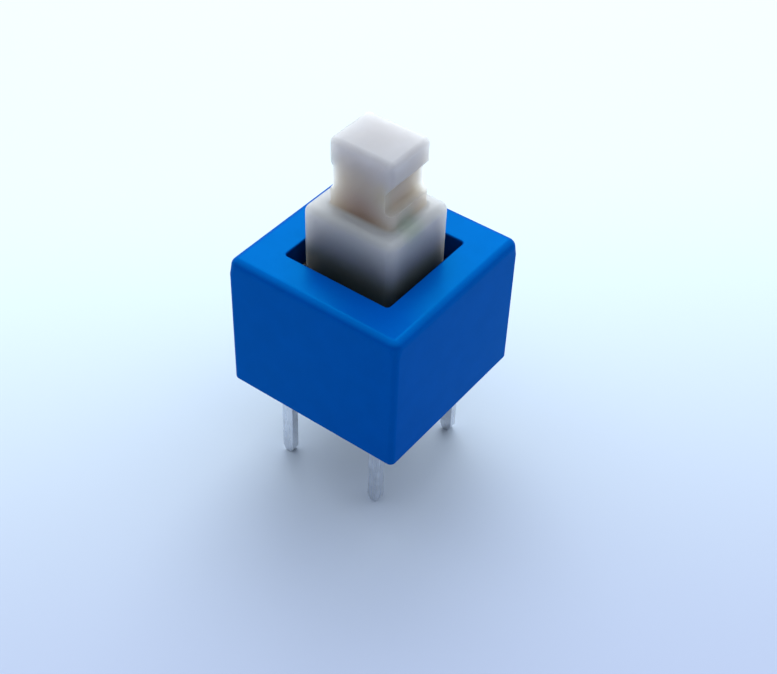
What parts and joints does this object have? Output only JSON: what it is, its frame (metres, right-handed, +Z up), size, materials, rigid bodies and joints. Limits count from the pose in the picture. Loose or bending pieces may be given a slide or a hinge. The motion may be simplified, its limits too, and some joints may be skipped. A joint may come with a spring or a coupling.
{
  "type": "pushbutton switch",
  "caption": "Square pushbutton switch for a circuit board, with a shouldered square plunger, a push-on push-off latch and flat solder pins.",
  "frame": {"origin": "under the middle of the case, level with the tips of the pins", "axes": "+Z up along the plunger, +X towards the side of the short contact blades, -X towards the side of the latch"},
  "size_m": [0.0086, 0.0086, 0.0167],
  "materials": {
    "blue_case": "satin",
    "white_plunger": "satin",
    "black_base": "matte",
    "tinned_pin": "satin",
    "bronze_leaf": "satin",
    "spring_steel": "bright"
  },
  "bodies": {
    "housing": {"case": "blue_case", "base": "black_base", "latch_leaf": "bronze_leaf", "return_spring": "spring_steel", "terminal_front_left": "tinned_pin", "terminal_front_right": "tinned_pin", "terminal_rear_left": "tinned_pin", "terminal_rear_right": "tinned_pin"},
    "plunger": {"plunger": "white_plunger", "contact_front": "bronze_leaf", "contact_rear": "bronze_leaf"},
    "latch": {"latch_wire": "spring_steel"}
  },
  "joints": [
    {"name": "plunger_slide", "type": "slide", "parent": "housing", "child": "plunger", "axis": [0, 0, 1], "range_m": [-0.0023, 0], "stiffness_N_per_m": 400, "springref_m": 0.0015, "deforming": ["return_spring"]},
    {"name": "latch_swing", "type": "hinge", "parent": "housing", "child": "latch", "pos_m": [-0.0016, -0.00016, 0.00485], "axis": [1, 0, 0], "range_deg": [0, 8.1]}
  ],
  "couplings": [
    {"joint": "latch_swing", "follows": "plunger_slide", "rad_per_m": -61.441}
  ]
}
